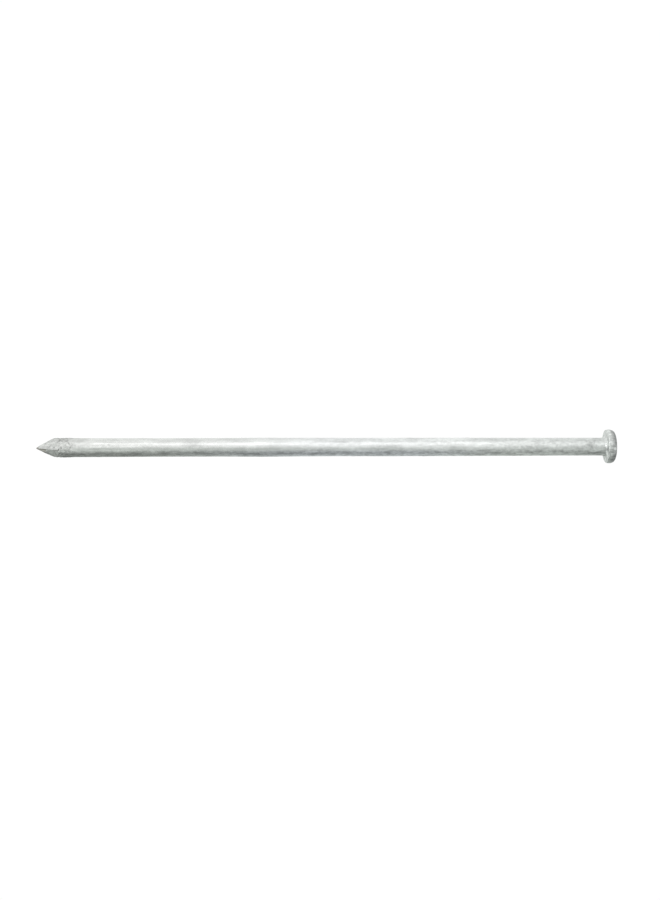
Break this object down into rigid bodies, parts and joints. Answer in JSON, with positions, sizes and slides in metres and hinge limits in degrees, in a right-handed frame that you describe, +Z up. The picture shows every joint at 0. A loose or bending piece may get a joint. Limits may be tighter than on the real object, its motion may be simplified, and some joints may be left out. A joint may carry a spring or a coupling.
{
  "type": "galvanised round spike",
  "caption": "Hot-dip galvanised round steel spike with an upset head and a faceted cut point, for fixing landscape timbers and railway sleepers.",
  "frame": {"origin": "centre of the coated strike face, on the spike's axis", "axes": "+X along the spike's axis and out of the strike face, with the point at -X; +Z up"},
  "size_m": [0.309, 0.0184, 0.0184],
  "materials": {
    "bare_steel": "dull bare steel at the point, slightly brown",
    "galvanised_zinc": "satin grey hot-dip zinc with fine spangle and small lumps"
  },
  "bodies": {
    "root": {"steel_spike": "bare_steel", "zinc_coating": "galvanised_zinc"}
  },
  "joints": []
}
